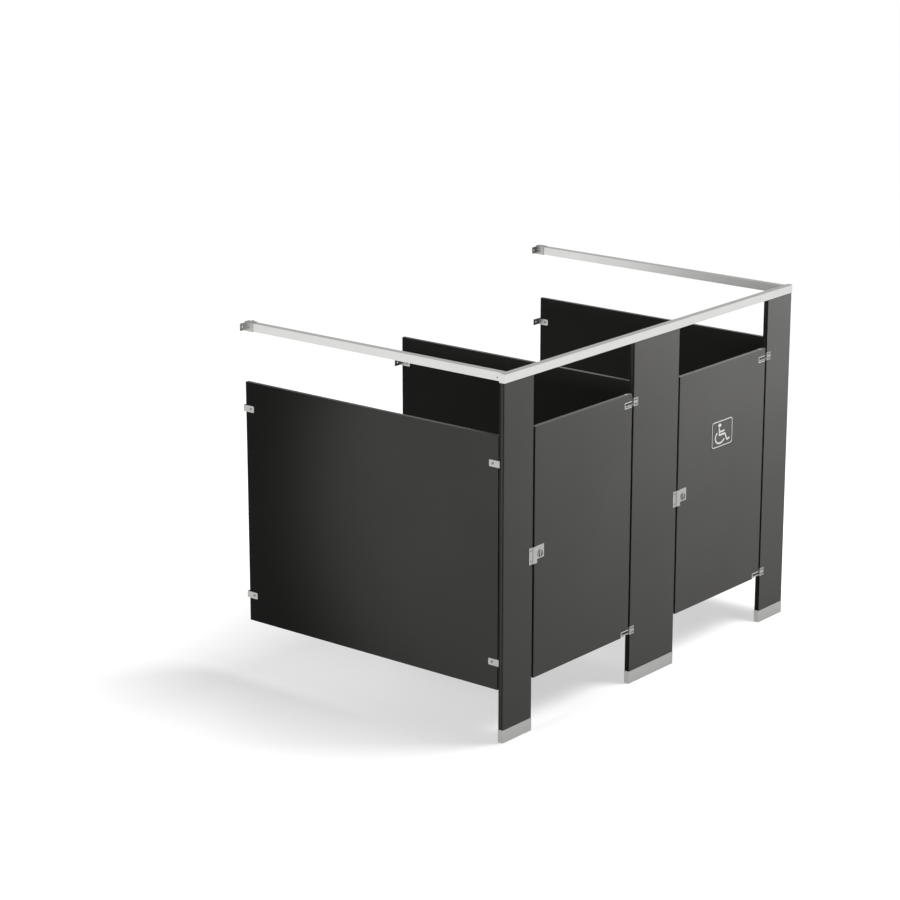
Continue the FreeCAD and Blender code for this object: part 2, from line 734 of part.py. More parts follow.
def door(x):
    """Door board with hinge notches, pin holes and latch mortise."""
    edge = latch_edge(x)
    body = board(edge, x - HINGE_GAP, DOOR_F, DOOR_B, PANEL_Z0, PANEL_Z1)
    axle = V(edge + SPINDLE_X, DOOR_F, SPINDLE_Z)
    tools = [notch(x, which) for which in LUG_ZS] + pin_holes(x)
    tools += [latch_pocket(edge), rod(SPINDLE_R + FIT, PANEL_T, axle, V(0, 1, 0))]
    tools.append(rod(DISH_R + FIT, DISH_IN + SLIP, axle, V(0, 1, 0)))
    tools += [rod(POST_R + FIT, PANEL_T + PLATE_T, p, a) for p, a in latch_spots(edge)]
    tools += drills(BOARD_SCREW, hook_spots(edge))
    return cut(body, tools)


# Latch, placed from the free edge of the door


def plate_box(x, y0, y1):
    """Outline of a latch plate with rounded corners."""
    z0 = SPINDLE_Z - PLATE_DOWN
    body = box(x + PLATE_X, x + PLATE_X + PLATE_W, y0, y1, z0, z0 + PLATE_H)
    return ease(body, PLATE_R, lambda e: along(e, V(0, 1, 0)))


def outside_plate(x):
    """Outside latch plate with four posts through the door."""
    axle = V(x + SPINDLE_X, DOOR_F - PLATE_T, SPINDLE_Z)
    body = plate_box(x, DOOR_F - PLATE_T, DOOR_F).cut(rod(DISH_R + FIT, PLATE_T, axle, V(0, 1, 0)))
    posts = [rod(POST_R, PANEL_T, V(p.x, DOOR_F, p.z), V(0, 1, 0)) for p, a in latch_spots(x)]
    return cut(join([body] + posts), drills(PLATE_SCREW, latch_spots(x)))


def inside_plate(x):
    """Inside latch plate."""
    axle = V(x + SPINDLE_X, DOOR_B, SPINDLE_Z)
    body = plate_box(x, DOOR_B, DOOR_B + PLATE_T).cut(rod(SPINDLE_R + FIT, PLATE_T, axle, V(0, 1, 0)))
    return cut(body, drills(PLATE_SCREW, latch_spots(x)))


def latch_case(x):
    """Hollow case in the mortise, open for the bolt and bored for the spindle."""
    body = latch_pocket(x, SLIP)
    half = POCKET_T / 2 - SLIP - CASE_WALL
    hollow = box(x + CASE_WALL, x + POCKET_L - SLIP - CASE_WALL, -half, half,
                 SPINDLE_Z - POCKET_DOWN + SLIP + CASE_WALL, SPINDLE_Z + POCKET_UP - SLIP - CASE_WALL)
    reach_y, reach_z = BOLT_T / 2 + SLIP, BOLT_H / 2 + SLIP
    mouth = box(x, x + CASE_WALL, -reach_y, reach_y, BOLT_Z - reach_z, BOLT_Z + reach_z)
    bore = rod(SPINDLE_R + RUN, POCKET_T, V(x + SPINDLE_X, -POCKET_T / 2, SPINDLE_Z), V(0, 1, 0))
    return cut(body, [hollow, mouth, bore])


def crank_pin(x):
    """Crank pin place with the latch open."""
    turn = radians(LATCH_TURN / 2)
    return V(x + SPINDLE_X + CRANK_R * sin(turn), 0, SPINDLE_Z + CRANK_R * cos(turn))


def latch_bolt(x):
    """Bolt with a nose in the case mouth and a fork over the crank pin."""
    pin = crank_pin(x)
    tail_end = pin.x + CRANK_PIN_R + FORK_PLAY + FORK_WALL
    z0, z1 = BOLT_Z - BOLT_H / 2, BOLT_Z + BOLT_H / 2
    nose = box(x - BOLT_OUT, x - BOLT_OUT + BOLT_NOSE_L, -BOLT_T / 2, BOLT_T / 2, z0, z1)
    nose = ease(nose, NOSE_R, lambda e: abs(e.CenterOfMass.x - x + BOLT_OUT) < 0.01)
    tail = box(x - BOLT_OUT + BOLT_NOSE_L, tail_end, -BOLT_T / 2, 0, z0, z1)
    half = CRANK_PIN_R + FORK_PLAY
    top = SPINDLE_Z + CRANK_R + CRANK_PIN_R + FORK_PLAY
    return join([nose, tail]).cut(box(pin.x - half, pin.x + half, -BOLT_T / 2, 0, z0, top))


def latch_dish(axle):
    """Round dish with a rim, a floor and an upright grip across it."""
    back = DOOR_F + DISH_IN
    front = DOOR_F - PLATE_T - DISH_OUT
    body = rod(DISH_R, back - front, V(axle.x, back, axle.z), V(0, -1, 0))
    hollow = rod(DISH_R - DISH_WALL, back - front - DISH_FLOOR, V(axle.x, front, axle.z), V(0, 1, 0))
    half = GRIP_W / 2
    grip = box(axle.x - half, axle.x + half, front, back, axle.z - DISH_R, axle.z + DISH_R)
    body = body.cut(hollow.cut(grip))
    return ease(body, DISH_EDGE_R, lambda e: abs(e.CenterOfMass.y - front) < 0.01)


def latch_spindle(x):
    """Outside dish, shaft, crank arm with pin and square end, in one piece."""
    axle = V(x + SPINDLE_X, 0, SPINDLE_Z)
    pin = crank_pin(x)
    back = DOOR_F + DISH_IN
    shaft = rod(SPINDLE_R, DOOR_B + PLATE_T - back, V(axle.x, back, axle.z), V(0, 1, 0))
    half = SPINDLE_SQUARE / 2
    end = DOOR_B + PLATE_T
    square = box(axle.x - half, axle.x + half, end, end + TURN_HUB_H, axle.z - half, axle.z + half)
    arm_y0, arm_y1 = FIT, POCKET_T / 2 - SLIP - CASE_WALL - FIT
    hub = rod(CRANK_HUB_R, arm_y1 - arm_y0, V(axle.x, arm_y0, axle.z), V(0, 1, 0))
    tip = rod(CRANK_TIP_R, arm_y1 - arm_y0, V(pin.x, arm_y0, pin.z), V(0, 1, 0))
    bar = box(-CRANK_TIP_R, CRANK_TIP_R, arm_y0, arm_y1, 0, CRANK_R)
    bar.Placement = FreeCAD.Placement(axle, FreeCAD.Rotation(V(0, 1, 0), LATCH_TURN / 2))
    peg = rod(CRANK_PIN_R, arm_y0 + BOLT_T / 2, V(pin.x, -BOLT_T / 2, pin.z), V(0, 1, 0))
    return join([latch_dish(axle), shaft, square, hub, bar, tip, peg])


def thumb_turn(x):
    """Inside thumb turn on the square end of the spindle."""
    axle = V(x + SPINDLE_X, DOOR_B + PLATE_T + AXIAL, SPINDLE_Z)
    hub = rod(TURN_HUB_R, TURN_HUB_H, axle, V(0, 1, 0))
    paddle = box(axle.x - TURN_T / 2, axle.x + TURN_T / 2, axle.y + TURN_HUB_H * 0.5, axle.y + TURN_H,
                 axle.z - TURN_L / 2, axle.z + TURN_L / 2)
    paddle = ease(paddle, TURN_T * 0.3, lambda e: abs(e.CenterOfMass.y - axle.y - TURN_H) < 0.01)
    half = SPINDLE_SQUARE / 2 + SLIP
    socket = box(axle.x - half, axle.x + half, axle.y, axle.y + TURN_HUB_H, axle.z - half, axle.z + half)
    return join([hub, paddle]).cut(socket)


def keeper(x):
    """Keeper on the pilaster edge at x: plate, bored web and lip over the door."""
    z0, z1 = KEEPER_Z, KEEPER_Z + KEEPER_H
    front = PIL_F - KEEPER_T
    lip = front - KEEPER_STEP
    plate = box(x - KEEPER_W, x + KEEPER_T, front, PIL_F, z0, z1)
    web = box(x, x + KEEPER_T, lip, PIL_B, z0, z1)
    wing = box(x, x + LATCH_GAP + KEEPER_LIP, lip, lip + KEEPER_T, z0, z1)
    body = join([plate, web, wing])
    body = ease(body, KEEPER_EDGE_R, lambda e: along(e, V(0, 0, 1)) and e.CenterOfMass.y < front + 0.01)
    half_y, half_z = BOLT_T / 2 + KEEPER_ROOM, BOLT_H / 2 + KEEPER_ROOM
    hole = box(x, x + KEEPER_T, -half_y, half_y, BOLT_Z - half_z, BOLT_Z + half_z)
    return cut(body, [hole] + drills(BOARD_SCREW, keeper_spots(x)))


def keeper_bumper(x):
    """Rubber strip on the keeper lip that meets the door face."""
    y0 = PIL_F - KEEPER_STEP
    x0 = x + LATCH_GAP + BUMPER_IN
    z = KEEPER_Z + KEEPER_H / 2
    body = box(x0, x0 + BUMPER_W, y0, DOOR_F - AXIAL, z - BUMPER_H / 2, z + BUMPER_H / 2)
    return ease(body, BUMPER_R, lambda e: abs(e.CenterOfMass.y - DOOR_F + AXIAL) < 0.01)


# Coat hook and sign


def coat_hook(x):
    """Coat hook base with a straight prong and an upturned hook."""
    at = x + HOOK_X
    y = DOOR_B
    base = box(at - HOOK_W / 2, at + HOOK_W / 2, y, y + HOOK_T, HOOK_Z - HOOK_H / 2, HOOK_Z + HOOK_H / 2)
    base = ease(base, HOOK_CORNER, lambda e: along(e, V(0, 1, 0)))
    prong = rod(PRONG_R, PRONG_L, V(at, y, HOOK_Z + PRONG_UP), V(0, 1, 0))
    low = HOOK_Z - HOOK_DROP
    line = Part.makeLine(V(at, y, low), V(at, y + HOOK_REACH, low))
    turn = V(at, y + HOOK_REACH, low + HOOK_BEND)
    bend = Part.makeCircle(HOOK_BEND, turn, V(1, 0, 0), -90, 0)
    tip = V(at, turn.y + HOOK_BEND, turn.z)
    rise = Part.makeLine(tip, tip + V(0, 0, HOOK_RISE))
    section = Part.Wire(Part.makeCircle(HOOK_R, V(at, y, low), V(0, 1, 0)))
    arm = Part.Wire([line, bend, rise]).makePipeShell([section], True, False)
    body = join([base, prong, arm])
    return cut(body, drills(BOARD_SCREW, hook_spots(x)))


def hook_tip(x):
    """Rubber cap on the prong of the coat hook."""
    start = V(x + HOOK_X, DOOR_B + PRONG_L - TIP_L * 0.5, HOOK_Z + PRONG_UP)
    body = rod(TIP_R, TIP_L, start, V(0, 1, 0))
    body = ease(body, TIP_R * 0.3, lambda e: abs(e.CenterOfMass.y - start.y - TIP_L) < 0.01)
    return body.cut(rod(PRONG_R + FIT, TIP_L * 0.5, start, V(0, 1, 0)))


def sign_centre():
    """Middle of the sign on the right door."""
    x = HINGE_EDGES["right"]
    return V(x - HINGE_GAP - DOOR_W / 2, DOOR_F - SIGN_T, SIGN_Z)


def rounded(w, h, r, thick, y):
    """Rounded rectangle round the sign centre, thickness towards the front."""
    c = sign_centre()
    body = box(c.x - w / 2, c.x + w / 2, y - thick, y, c.z - h / 2, c.z + h / 2)
    return ease(body, r, lambda e: along(e, V(0, 1, 0)))


def sign_plate():
    """Plain sign plate."""
    return rounded(SIGN_W, SIGN_H, SIGN_R, SIGN_T, DOOR_F)


def stroke(a, b, y):
    """Bar of the figure between two points of the sign face."""
    c = sign_centre()
    start, end = V(c.x + a[0], y, c.z + a[1]), V(c.x + b[0], y, c.z + b[1])
    side = (end - start).normalize().cross(V(0, 1, 0)) * (STROKE / 2)
    bar = prism([start + side, end + side, end - side, start - side], V(0, -SIGN_RAISE, 0))
    ends = [rod(STROKE / 2, SIGN_RAISE, p, V(0, -1, 0)) for p in (start, end)]
    return join([bar] + ends)


def oval(centre, half_w, half_h, y):
    """Raised oval on the sign face."""
    c = sign_centre()
    curve = Part.Ellipse(V(c.x + centre[0], y, c.z + centre[1]), half_w, half_h)
    curve.Axis = V(0, -1, 0)
    curve.XAxis = V(1, 0, 0)
    return Part.Face(Part.Wire(curve.toShape())).extrude(V(0, -SIGN_RAISE, 0))


def sign_figure():
    """Raised border, and a seated figure with an open wheel."""
    c = sign_centre()
    y = DOOR_F - SIGN_T
    border = rounded(SIGN_W, SIGN_H, SIGN_R, SIGN_RAISE, y)
    inner = rounded(SIGN_W - 2 * SIGN_LINE, SIGN_H - 2 * SIGN_LINE, SIGN_R - SIGN_LINE, SIGN_RAISE, y)
    head = oval(HEAD, HEAD_W / 2, HEAD_H / 2, y)
    lines = [(NECK, HIP), (SHOULDER, HAND), (HIP, KNEE), (KNEE, HEEL), (HEEL, TOE)]
    body = join([stroke(a, b, y) for a, b in lines])
    tyre = oval(WHEEL, WHEEL_W / 2, WHEEL_H / 2, y)
    rim = oval(WHEEL, WHEEL_W / 2 - STROKE, WHEEL_H / 2 - STROKE, y)
    gap = [(0, 0), (SIGN_W, -SIGN_W * WHEEL_SLOPE), (SIGN_W, SIGN_W), (-SIGN_W, SIGN_W)]
    clear = [V(c.x + WHEEL[0] + u, y, c.z + WHEEL[1] + w) for u, w in gap]
    wheel = tyre.cut(rim).cut(prism(clear, V(0, -SIGN_RAISE, 0)))
    return [border.cut(inner), head, body, wheel]


def fixed_parts():
    """Everything that stands still."""
    names = list(PILASTERS)
    parts = {}
    for name in names:
        parts[name + "_pilaster"] = [pilaster(name)]
        parts[name + "_shoe"] = [shoe(name)]
        parts[name + "_panel"] = [panel(name)]
        parts[name + "_panel_front_brackets"] = [
            panel_bracket(name, z, PIL_B, 1, FRONT_GAP, BOARD_SCREW[0] + FIT) for z in BRACKET_ZS]
        parts[name + "_panel_wall_brackets"] = [
            panel_bracket(name, z, WALL_Y, -1, WALL_GAP, ANCHOR_R) for z in BRACKET_ZS]
    parts["foot_bars"] = [foot_bar(n) for n in names]
    parts["levelling_studs"] = [s for n in names for s in studs(n)]
    parts["levelling_nuts"] = [s for n in names for s in nuts(n)]
    parts["bracket_bolts"] = [
        through_bolt(x, y, z) for x in PANELS.values() for y in bolt_ys() for z in BRACKET_ZS]
    parts["bracket_screws"] = screws(BOARD_SCREW, [s for n in names for s in ear_spots(n)])
    parts["front_headrail"] = [front_rail()]
    parts["headrail_end_caps"] = [end_cap(s) for s in (-1, 1)]
    parts["headrail_corner_brackets"] = [corner_bracket(s) for s in (-1, 1)]
    parts["rail_wall_brackets"] = [wall_sleeve(s) for s in (-1, 1)]
    for name, side in (("left", -1), ("right", 1)):
        parts[name + "_return_rail"] = [return_rail(side)]
    rail_spots = [s for n in names for s in head_spots(n)]
    for side in (-1, 1):
        rail_spots += corner_spots(side) + cheek_spots(side) + sleeve_spots(side)
    parts["rail_screws"] = screws(RAIL_SCREW, rail_spots)
    parts["hinge_bushes"] = [b for x in HINGE_EDGES.values() for w in LUG_ZS for b in hinge_bushes(x, w)]
    parts["hinge_screws"] = screws(BOARD_SCREW, [s for x in HINGE_EDGES.values() for s in hinge_spots(x)])
    edges = [x - OPENING for x in HINGE_EDGES.values()]
    parts["keepers"] = [keeper(x) for x in edges]
    parts["keeper_bumpers"] = [keeper_bumper(x) for x in edges]
    parts["keeper_screws"] = screws(BOARD_SCREW, [s for x in edges for s in keeper_spots(x)])
    for name, x in HINGE_EDGES.items():
        for which in LUG_ZS:
            parts[name + "_door_" + which + "_hinge"] = [hinge_bracket(x, which)]
    return parts


def door_parts(name):
    """Everything that swings with one door."""
    x = HINGE_EDGES[name]
    edge = latch_edge(x)
    fixings = screws(PLATE_SCREW, latch_spots(edge)) + screws(BOARD_SCREW, hook_spots(edge))
    found = {
        "door": [door(x)],
        "hinge_liners": [hinge_liner(x, which) for which in LUG_ZS],
        "hinge_pins": hinge_pins(x),
        "latch_plates": [outside_plate(edge), inside_plate(edge)],
        "latch_case": [latch_case(edge)],
        "latch_bolt": [latch_bolt(edge)],
        "latch_spindle": [latch_spindle(edge)],
        "thumb_turn": [thumb_turn(edge)],
        "coat_hook": [coat_hook(edge)],
        "hook_tip": [hook_tip(edge)],
        "door_screws": fixings,
    }
    return {name + "_" + key: shapes for key, shapes in found.items()}


def main():
    """Write one file per node."""
    os.makedirs("parts", exist_ok=True)
    parts = fixed_parts()
    for name in HINGE_EDGES:
        parts.update(door_parts(name))
    parts["sign_plate"] = [sign_plate()]
    parts["sign_figure"] = sign_figure()
    for name, shapes in parts.items():
        solids = [s for shape in shapes for s in shape.Solids]
        whole = solids[0] if len(solids) == 1 else Part.makeCompound(solids)
        whole.exportStep("parts/" + name + ".step")


main()
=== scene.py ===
import json
from math import cos, pi, radians, sin

import bmesh
import bpy
import numpy as np
from bpy.props import FloatProperty, FloatVectorProperty, IntProperty, PointerProperty
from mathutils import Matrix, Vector


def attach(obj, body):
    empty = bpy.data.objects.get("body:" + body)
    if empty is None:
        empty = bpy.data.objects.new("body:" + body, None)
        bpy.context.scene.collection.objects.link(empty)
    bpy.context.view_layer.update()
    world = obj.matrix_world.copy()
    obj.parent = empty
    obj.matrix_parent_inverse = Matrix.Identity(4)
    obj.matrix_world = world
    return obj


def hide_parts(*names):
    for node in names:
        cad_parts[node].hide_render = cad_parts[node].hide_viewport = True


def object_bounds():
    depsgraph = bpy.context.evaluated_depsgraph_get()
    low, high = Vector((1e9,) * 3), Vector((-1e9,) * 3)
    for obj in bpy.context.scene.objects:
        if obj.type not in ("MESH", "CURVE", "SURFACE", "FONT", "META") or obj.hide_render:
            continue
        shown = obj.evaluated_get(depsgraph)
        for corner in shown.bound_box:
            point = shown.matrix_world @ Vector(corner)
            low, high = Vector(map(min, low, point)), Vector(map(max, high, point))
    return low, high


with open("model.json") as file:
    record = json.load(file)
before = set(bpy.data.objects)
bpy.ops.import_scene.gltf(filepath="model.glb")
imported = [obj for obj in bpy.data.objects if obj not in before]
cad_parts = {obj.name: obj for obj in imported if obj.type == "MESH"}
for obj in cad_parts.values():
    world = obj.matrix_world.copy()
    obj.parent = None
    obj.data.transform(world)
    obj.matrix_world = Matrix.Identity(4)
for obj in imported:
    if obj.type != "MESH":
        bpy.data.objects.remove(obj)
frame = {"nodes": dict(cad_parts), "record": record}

bl_info = {
    "name": "Toilet Partition",
    "version": (1, 0, 0),
    "blender": (4, 5, 0),
    "location": "View3D > Sidebar > Partition",
    "description": "Finishes, screws, light and camera for a two-stall toilet partition",
    "category": "Object",
}

CAD_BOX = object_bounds()
NODES = frame["nodes"]
SLOT_OF = {part["node"]: part["material_slot"] for part in frame["record"]["subparts"]}
BODY_OF = {
    node: body
    for body, nodes in frame["record"]["behaviour"]["bodies"].items()
    for node in nodes
}

# Camera that takes the square picture
CAMERA_PLACE = (-12.8409, -8.8950, 5.8290)
CAMERA_YAW = 50.94      # degrees from +Y towards +X
CAMERA_PITCH = -15.93   # degrees above the horizon
CAMERA_SENSOR = 36.0    # millimetres
CAMERA_LENS = 111.02    # millimetres
CAMERA_REACH = 200.0    # metres

# Lamps by the names of their watts in the stage's values; places, aims and sizes in metres
LAMPS = {
    "key": {
        "kind": "AREA", "place": (2.2, -2.5, 5.1), "aim": (0.4, 0.0, 1.3), "size": 2.8},
    "top": {
        "kind": "AREA", "place": (1.6, 0.3, 7.0), "aim": (0.4, 0.6, 0.0), "size": 3.0},
    "rear": {
        "kind": "AREA", "place": (3.2, 5.2, 3.2), "aim": (0.0, 0.6, 1.1), "size": 2.0},
    "side": {
        "kind": "SPOT", "place": (-4.2, 0.3, 1.7), "aim": (-1.4, -0.1, 1.3),
        "spot_size": radians(72), "spot_blend": 0.62, "shadow_soft_size": 0.3},
}

# Floor disc, with its middle a hair under the shoes
FLOOR_SIDES = 96
FLOOR_MIDDLE = (0.0, 0.9, -0.0005)

# Upward slope of a ray from which the surround is dimmest to metal
OVERHEAD_SLOPE = 0.3

WHITE = (1.0, 1.0, 1.0)
ORIGIN = (0.0, 0.0, 0.0)
UP = (0.0, 0.0, 1.0)

# Limits of a noise between which a finish goes from its darker to its lighter shade
CLOUD_LOW = 0.3
CLOUD_HIGH = 0.7

# Scale of brushed grain along the brushing, against 1 across it
BRUSH_STRETCH = 0.035

# Specular level of surfaces without gloss
MATT_SPECULAR = 0.10

# How screws are read from their solids
WELD_GAP = 1e-6         # metres between corners that are one
TIP_BAND = 1e-5         # metres from the tip that still count as the tip
RIM_SHARE = 0.99        # of the head's radius, from which a corner is on its rim
PLACE_DIGITS = 4        # decimals of a metre, for sorting and for telling sizes apart

# Screw head, from its pin outwards, as shares of the head's height
PIN_TOP = 0.78
PIN_FOOT = 0.42
RECESS_FLOOR = 0.40
RECESS_MOUTH = 0.99
RECESS_TAPER = 0.90     # radius of the floor as a share of the mouth's
LOBES = 6
LOBE_DEPTH = 0.13       # as a share of the recess's radius
DOME = ((0.66, 1.0), (0.84, 0.86), (0.96, 0.62), (1.0, 0.36))   # shares of radius and height

# Screw shank, as shares of its length and radius
THREAD_START = 0.06
THREAD_SPAN = 0.86
THREAD_ROOT = 0.80      # radius
TIP_START = 0.93
TIP_SHOULDER = 0.76     # radius
TIP_END = 0.42          # radius

# Angle between two faces of a screw from which their edge is crisp
CRISP_ANGLE = radians(38)


class PartitionFinishes(bpy.types.PropertyGroup):
    """Colours of the partition's finishes."""

    coat: FloatVectorProperty(
        name="Board coat", description="Powder coat of pilasters, panels and doors",
        default=(0.115, 0.114, 0.110), subtype="COLOR", min=0, max=1)
    rail: FloatVectorProperty(
        name="Rail", description="Satin anodised headrail and return rails",
        default=(0.78, 0.78, 0.765), subtype="COLOR", min=0, max=1)
    steel: FloatVectorProperty(
        name="Brushed steel", description="Shoes",
        default=(0.63, 0.63, 0.612), subtype="COLOR", min=0, max=1)
    liner: FloatVectorProperty(
        name="Bright steel", description="Hinge liners, hinge pins, latch cases and bolts",
        default=(0.88, 0.88, 0.86), subtype="COLOR", min=0, max=1)
    folded: FloatVectorProperty(
        name="Folded steel", description="Brackets of panels and rails",
        default=(0.54, 0.54, 0.525), subtype="COLOR", min=0, max=1)
    zinc: FloatVectorProperty(
        name="Satin casting", description="Hinges, keepers and their screws, latch plates and hooks",
        default=(0.46, 0.46, 0.45), subtype="COLOR", min=0, max=1)
    plating: FloatVectorProperty(
        name="Zinc plating", description="Floor bars, levelling studs and nuts",
        default=(0.55, 0.54, 0.49), subtype="COLOR", min=0, max=1)
    screw: FloatVectorProperty(
        name="Screw steel", description="Other screws, and through bolts",
        default=(0.27, 0.27, 0.264), subtype="COLOR", min=0, max=1)
    nylon: FloatVectorProperty(
        name="Nylon", description="Hinge bushes",
        default=(0.030, 0.030, 0.029), subtype="COLOR", min=0, max=1)
    rubber: FloatVectorProperty(
        name="Rubber", description="Keeper strips and hook tips",
        default=(0.022, 0.022, 0.021), subtype="COLOR", min=0, max=1)
    sign_face: FloatVectorProperty(
        name="Sign face", description="Field of the sign plate",
        default=(0.115, 0.114, 0.110), subtype="COLOR", min=0, max=1)
    sign_figure: FloatVectorProperty(
        name="Sign figure", description="Raised border and figure of the sign",
        default=(0.80, 0.80, 0.78), subtype="COLOR", min=0, max=1)


class PartitionScrews(bpy.types.PropertyGroup):
    """Shape of the screws."""

    sides: IntProperty(
        name="Sides", description="Corners round a screw", default=24, min=12, max=48)
    recess: FloatProperty(
        name="Recess", description="Six-lobe recess as a share of the head",
        default=0.50, min=0.2, max=0.7, subtype="FACTOR")
    pin: FloatProperty(
        name="Pin", description="Centre pin of the recess as a share of the head",
        default=0.15, min=0.05, max=0.3, subtype="FACTOR")
    threads: IntProperty(
        name="Threads", description="Thread turns on a shank", default=9, min=3, max=20)
    seed: IntProperty(
        name="Seed", description="Seed of the turn of each screw", default=7)


class PartitionStage(bpy.types.PropertyGroup):
    """Floor and lamps."""

    floor_radius: FloatProperty(
        name="Floor radius", description="Size of the floor disc", default=60.0, unit="LENGTH")
    floor_tone: FloatProperty(
        name="Floor tone", description="How pale the floor is in the picture",
        default=0.48, min=0, max=1, subtype="FACTOR")
    floor_dim: FloatProperty(
        name="Floor bounce", description="How pale the floor is for light that it sends back",
        default=0.07, min=0, max=1, subtype="FACTOR")
    floor_lift: FloatProperty(
        name="Floor lift", description="Glow of the floor to the camera and to metal, near the partition",
        default=0.56, min=0, max=1, subtype="FACTOR")
    fade_start: FloatProperty(
        name="Fade start", description="How far from the partition the floor starts to turn white",
        default=0.0, unit="LENGTH")
    fade_end: FloatProperty(
        name="Fade end", description="How far from the partition the floor is all white",
        default=1.1, unit="LENGTH")
    ambient: FloatProperty(
        name="Ambient", description="Light from all round",
        default=0.015, min=0, max=1, subtype="FACTOR")
    overhead: FloatProperty(
        name="Overhead", description="How much dimmer metal sees the surround above it",
        default=0.50, min=0, max=1, subtype="FACTOR")
    key: FloatProperty(
        name="Key", description="Lamp at the upper right front", default=415.0, unit="POWER")
    top: FloatProperty(
        name="Top", description="Lamp overhead", default=60.0, unit="POWER")
    side: FloatProperty(
        name="Side", description="Lamp at the left", default=108.0, unit="POWER")
    rear: FloatProperty(
        name="Rear", description="Lamp behind the stalls", default=70.0, unit="POWER")


def rgba(colour, shade=1.0):
    """Four numbers of a colour, made darker or lighter."""
    return (*[min(1.0, part * shade) for part in colour], 1.0)


class Sock:
    """A node socket that takes part in Python expressions."""

    def __init__(self, tree, socket=None):
        self.tree = tree
        self.socket = socket

    def feed(self, socket, value):
        """Links a node's input to another socket, or sets it to a plain value."""
        if isinstance(value, Sock):
            self.tree.links.new(value.socket, socket)
        else:
            socket.default_value = value

    def make(self, kind, settings=None, out=0, **values):
        """Adds a node: its settings first, then its inputs, by name or by number as in i0."""
        node = self.tree.nodes.new(kind)
        for name, value in (settings or {}).items():
            setattr(node, name, value)
        for name, value in values.items():
            numbered = name[0] == "i" and name[1:].isdigit()
            key = int(name[1:]) if numbered else name.replace("_", " ")
            self.feed(node.inputs[key], value)
        return Sock(self.tree, node.outputs[out] if node.outputs else None)

    def math(self, operation, first, second):
        """Maths of two values."""
        return self.make("ShaderNodeMath", {"operation": operation}, i0=first, i1=second)

    def __add__(self, other):
        return self.math("ADD", self, other)

    def __radd__(self, other):
        return self.math("ADD", other, self)

    def __sub__(self, other):
        return self.math("SUBTRACT", self, other)

    def __rsub__(self, other):
        return self.math("SUBTRACT", other, self)

    def __mul__(self, other):
        return self.math("MULTIPLY", self, other)

    def __rmul__(self, other):
        return self.math("MULTIPLY", other, self)

    def most(self, other):
        """The larger of this value and another."""
        return self.math("MAXIMUM", self, other)

    def vector(self, operation, other=ORIGIN, out=0):
        """Vector maths of this place and another."""
        return self.make("ShaderNodeVectorMath", {"operation": operation}, out, i0=self, i1=other)

    def span(self, low, high):
        """0 at low, 1 at high, held outside."""
        return self.make(
            "ShaderNodeMapRange", {"clamp": True}, Value=self, From_Min=low, From_Max=high)

    def mix(self, first, second):
        """Colour between first and second, by this value; 6, 7 and 2 are the node's colour sockets."""
        return self.make(
            "ShaderNodeMix", {"data_type": "RGBA"}, 2, i0=self, i6=first, i7=second)

    def shades(self, colour, dark, light, low=CLOUD_LOW, high=CLOUD_HIGH):
        """Colour between a darker and a lighter shade, by this noise."""
        return self.span(low, high).mix(rgba(colour, dark), rgba(colour, light))


class Finish:
    """A material under way: its surface shader and the places on its piece."""

    def __init__(self, name):
        self.material = bpy.data.materials.new(name)
        self.material.use_nodes = True
        tree = self.material.node_tree
        self.shader = tree.nodes["Principled BSDF"]
        self.at = Sock(tree).make("ShaderNodeTexCoord", out="Object")

    def stretched(self, scale):
        """Place on the piece, stretched by a scale for each axis."""
        return self.at.make("ShaderNodeMapping", Vector=self.at, Scale=scale)

    def noise(self, scale, detail=3.0, rough=0.5, at=None):
        """Soft noise from 0 to 1, of a number of blobs to the metre."""
        return self.at.make(
            "ShaderNodeTexNoise", Vector=at or self.at, Scale=scale, Detail=detail, Roughness=rough)

    def cells(self, scale):
        """Distance from the middle of round cells, of a number of cells to the metre."""
        return self.at.make("ShaderNodeTexVoronoi", out="Distance", Vector=self.at, Scale=scale)

    def bump(self, height, distance, strength):
        """Relief of a height from 0 to 1, with its distance in metres."""
        return self.at.make("ShaderNodeBump", Height=height, Distance=distance, Strength=strength)

    def set(self, **values):
        """Links or sets sockets of the surface shader."""
        for name, value in values.items():
            self.at.feed(self.shader.inputs[name.replace("_", " ")], value)


def coat_finish(colour):
    """Charcoal powder coat: fine orange peel, faint clouding, tiny pale specks."""
    finish = Finish("board_coat")
    cloud = finish.noise(scale=1.7, detail=2.0)
    peel = finish.noise(scale=420.0, detail=2.0, rough=0.55)
    speck = 0.22 * finish.noise(scale=1500.0, detail=1.0).span(low=0.66, high=0.78)
    tone = cloud.shades(colour, dark=0.95, light=1.06)
    finish.set(Base_Color=speck.mix(tone, rgba(colour, shade=1.9)))
    finish.set(Roughness=0.50 + 0.10 * cloud + 0.06 * peel)
    finish.set(Specular_IOR_Level=MATT_SPECULAR)
    finish.set(Normal=finish.bump(peel, distance=0.00025, strength=0.7))
    return finish.material


def brushed_finish(name, colour, along, rough):
    """Brushed or drawn metal, with its grain along one axis."""
    finish = Finish(name)
    stretch = [BRUSH_STRETCH if axis == along else 1.0 for axis in "xyz"]
    grain = finish.noise(scale=620.0, detail=4.0, rough=0.65, at=finish.stretched(stretch))
    cloud = finish.noise(scale=5.0)
    tone = grain.shades(colour, dark=0.93, light=1.05, low=0.25, high=0.75)
    dull = 0.35 * cloud.span(low=0.35, high=0.75)
    finish.set(Base_Color=dull.mix(tone, rgba(colour, shade=0.90)))
    finish.set(Metallic=1.0, Roughness=rough + 0.10 * grain + 0.05 * cloud)
    finish.set(Normal=finish.bump(grain, distance=0.00005, strength=0.35))
    return finish.material


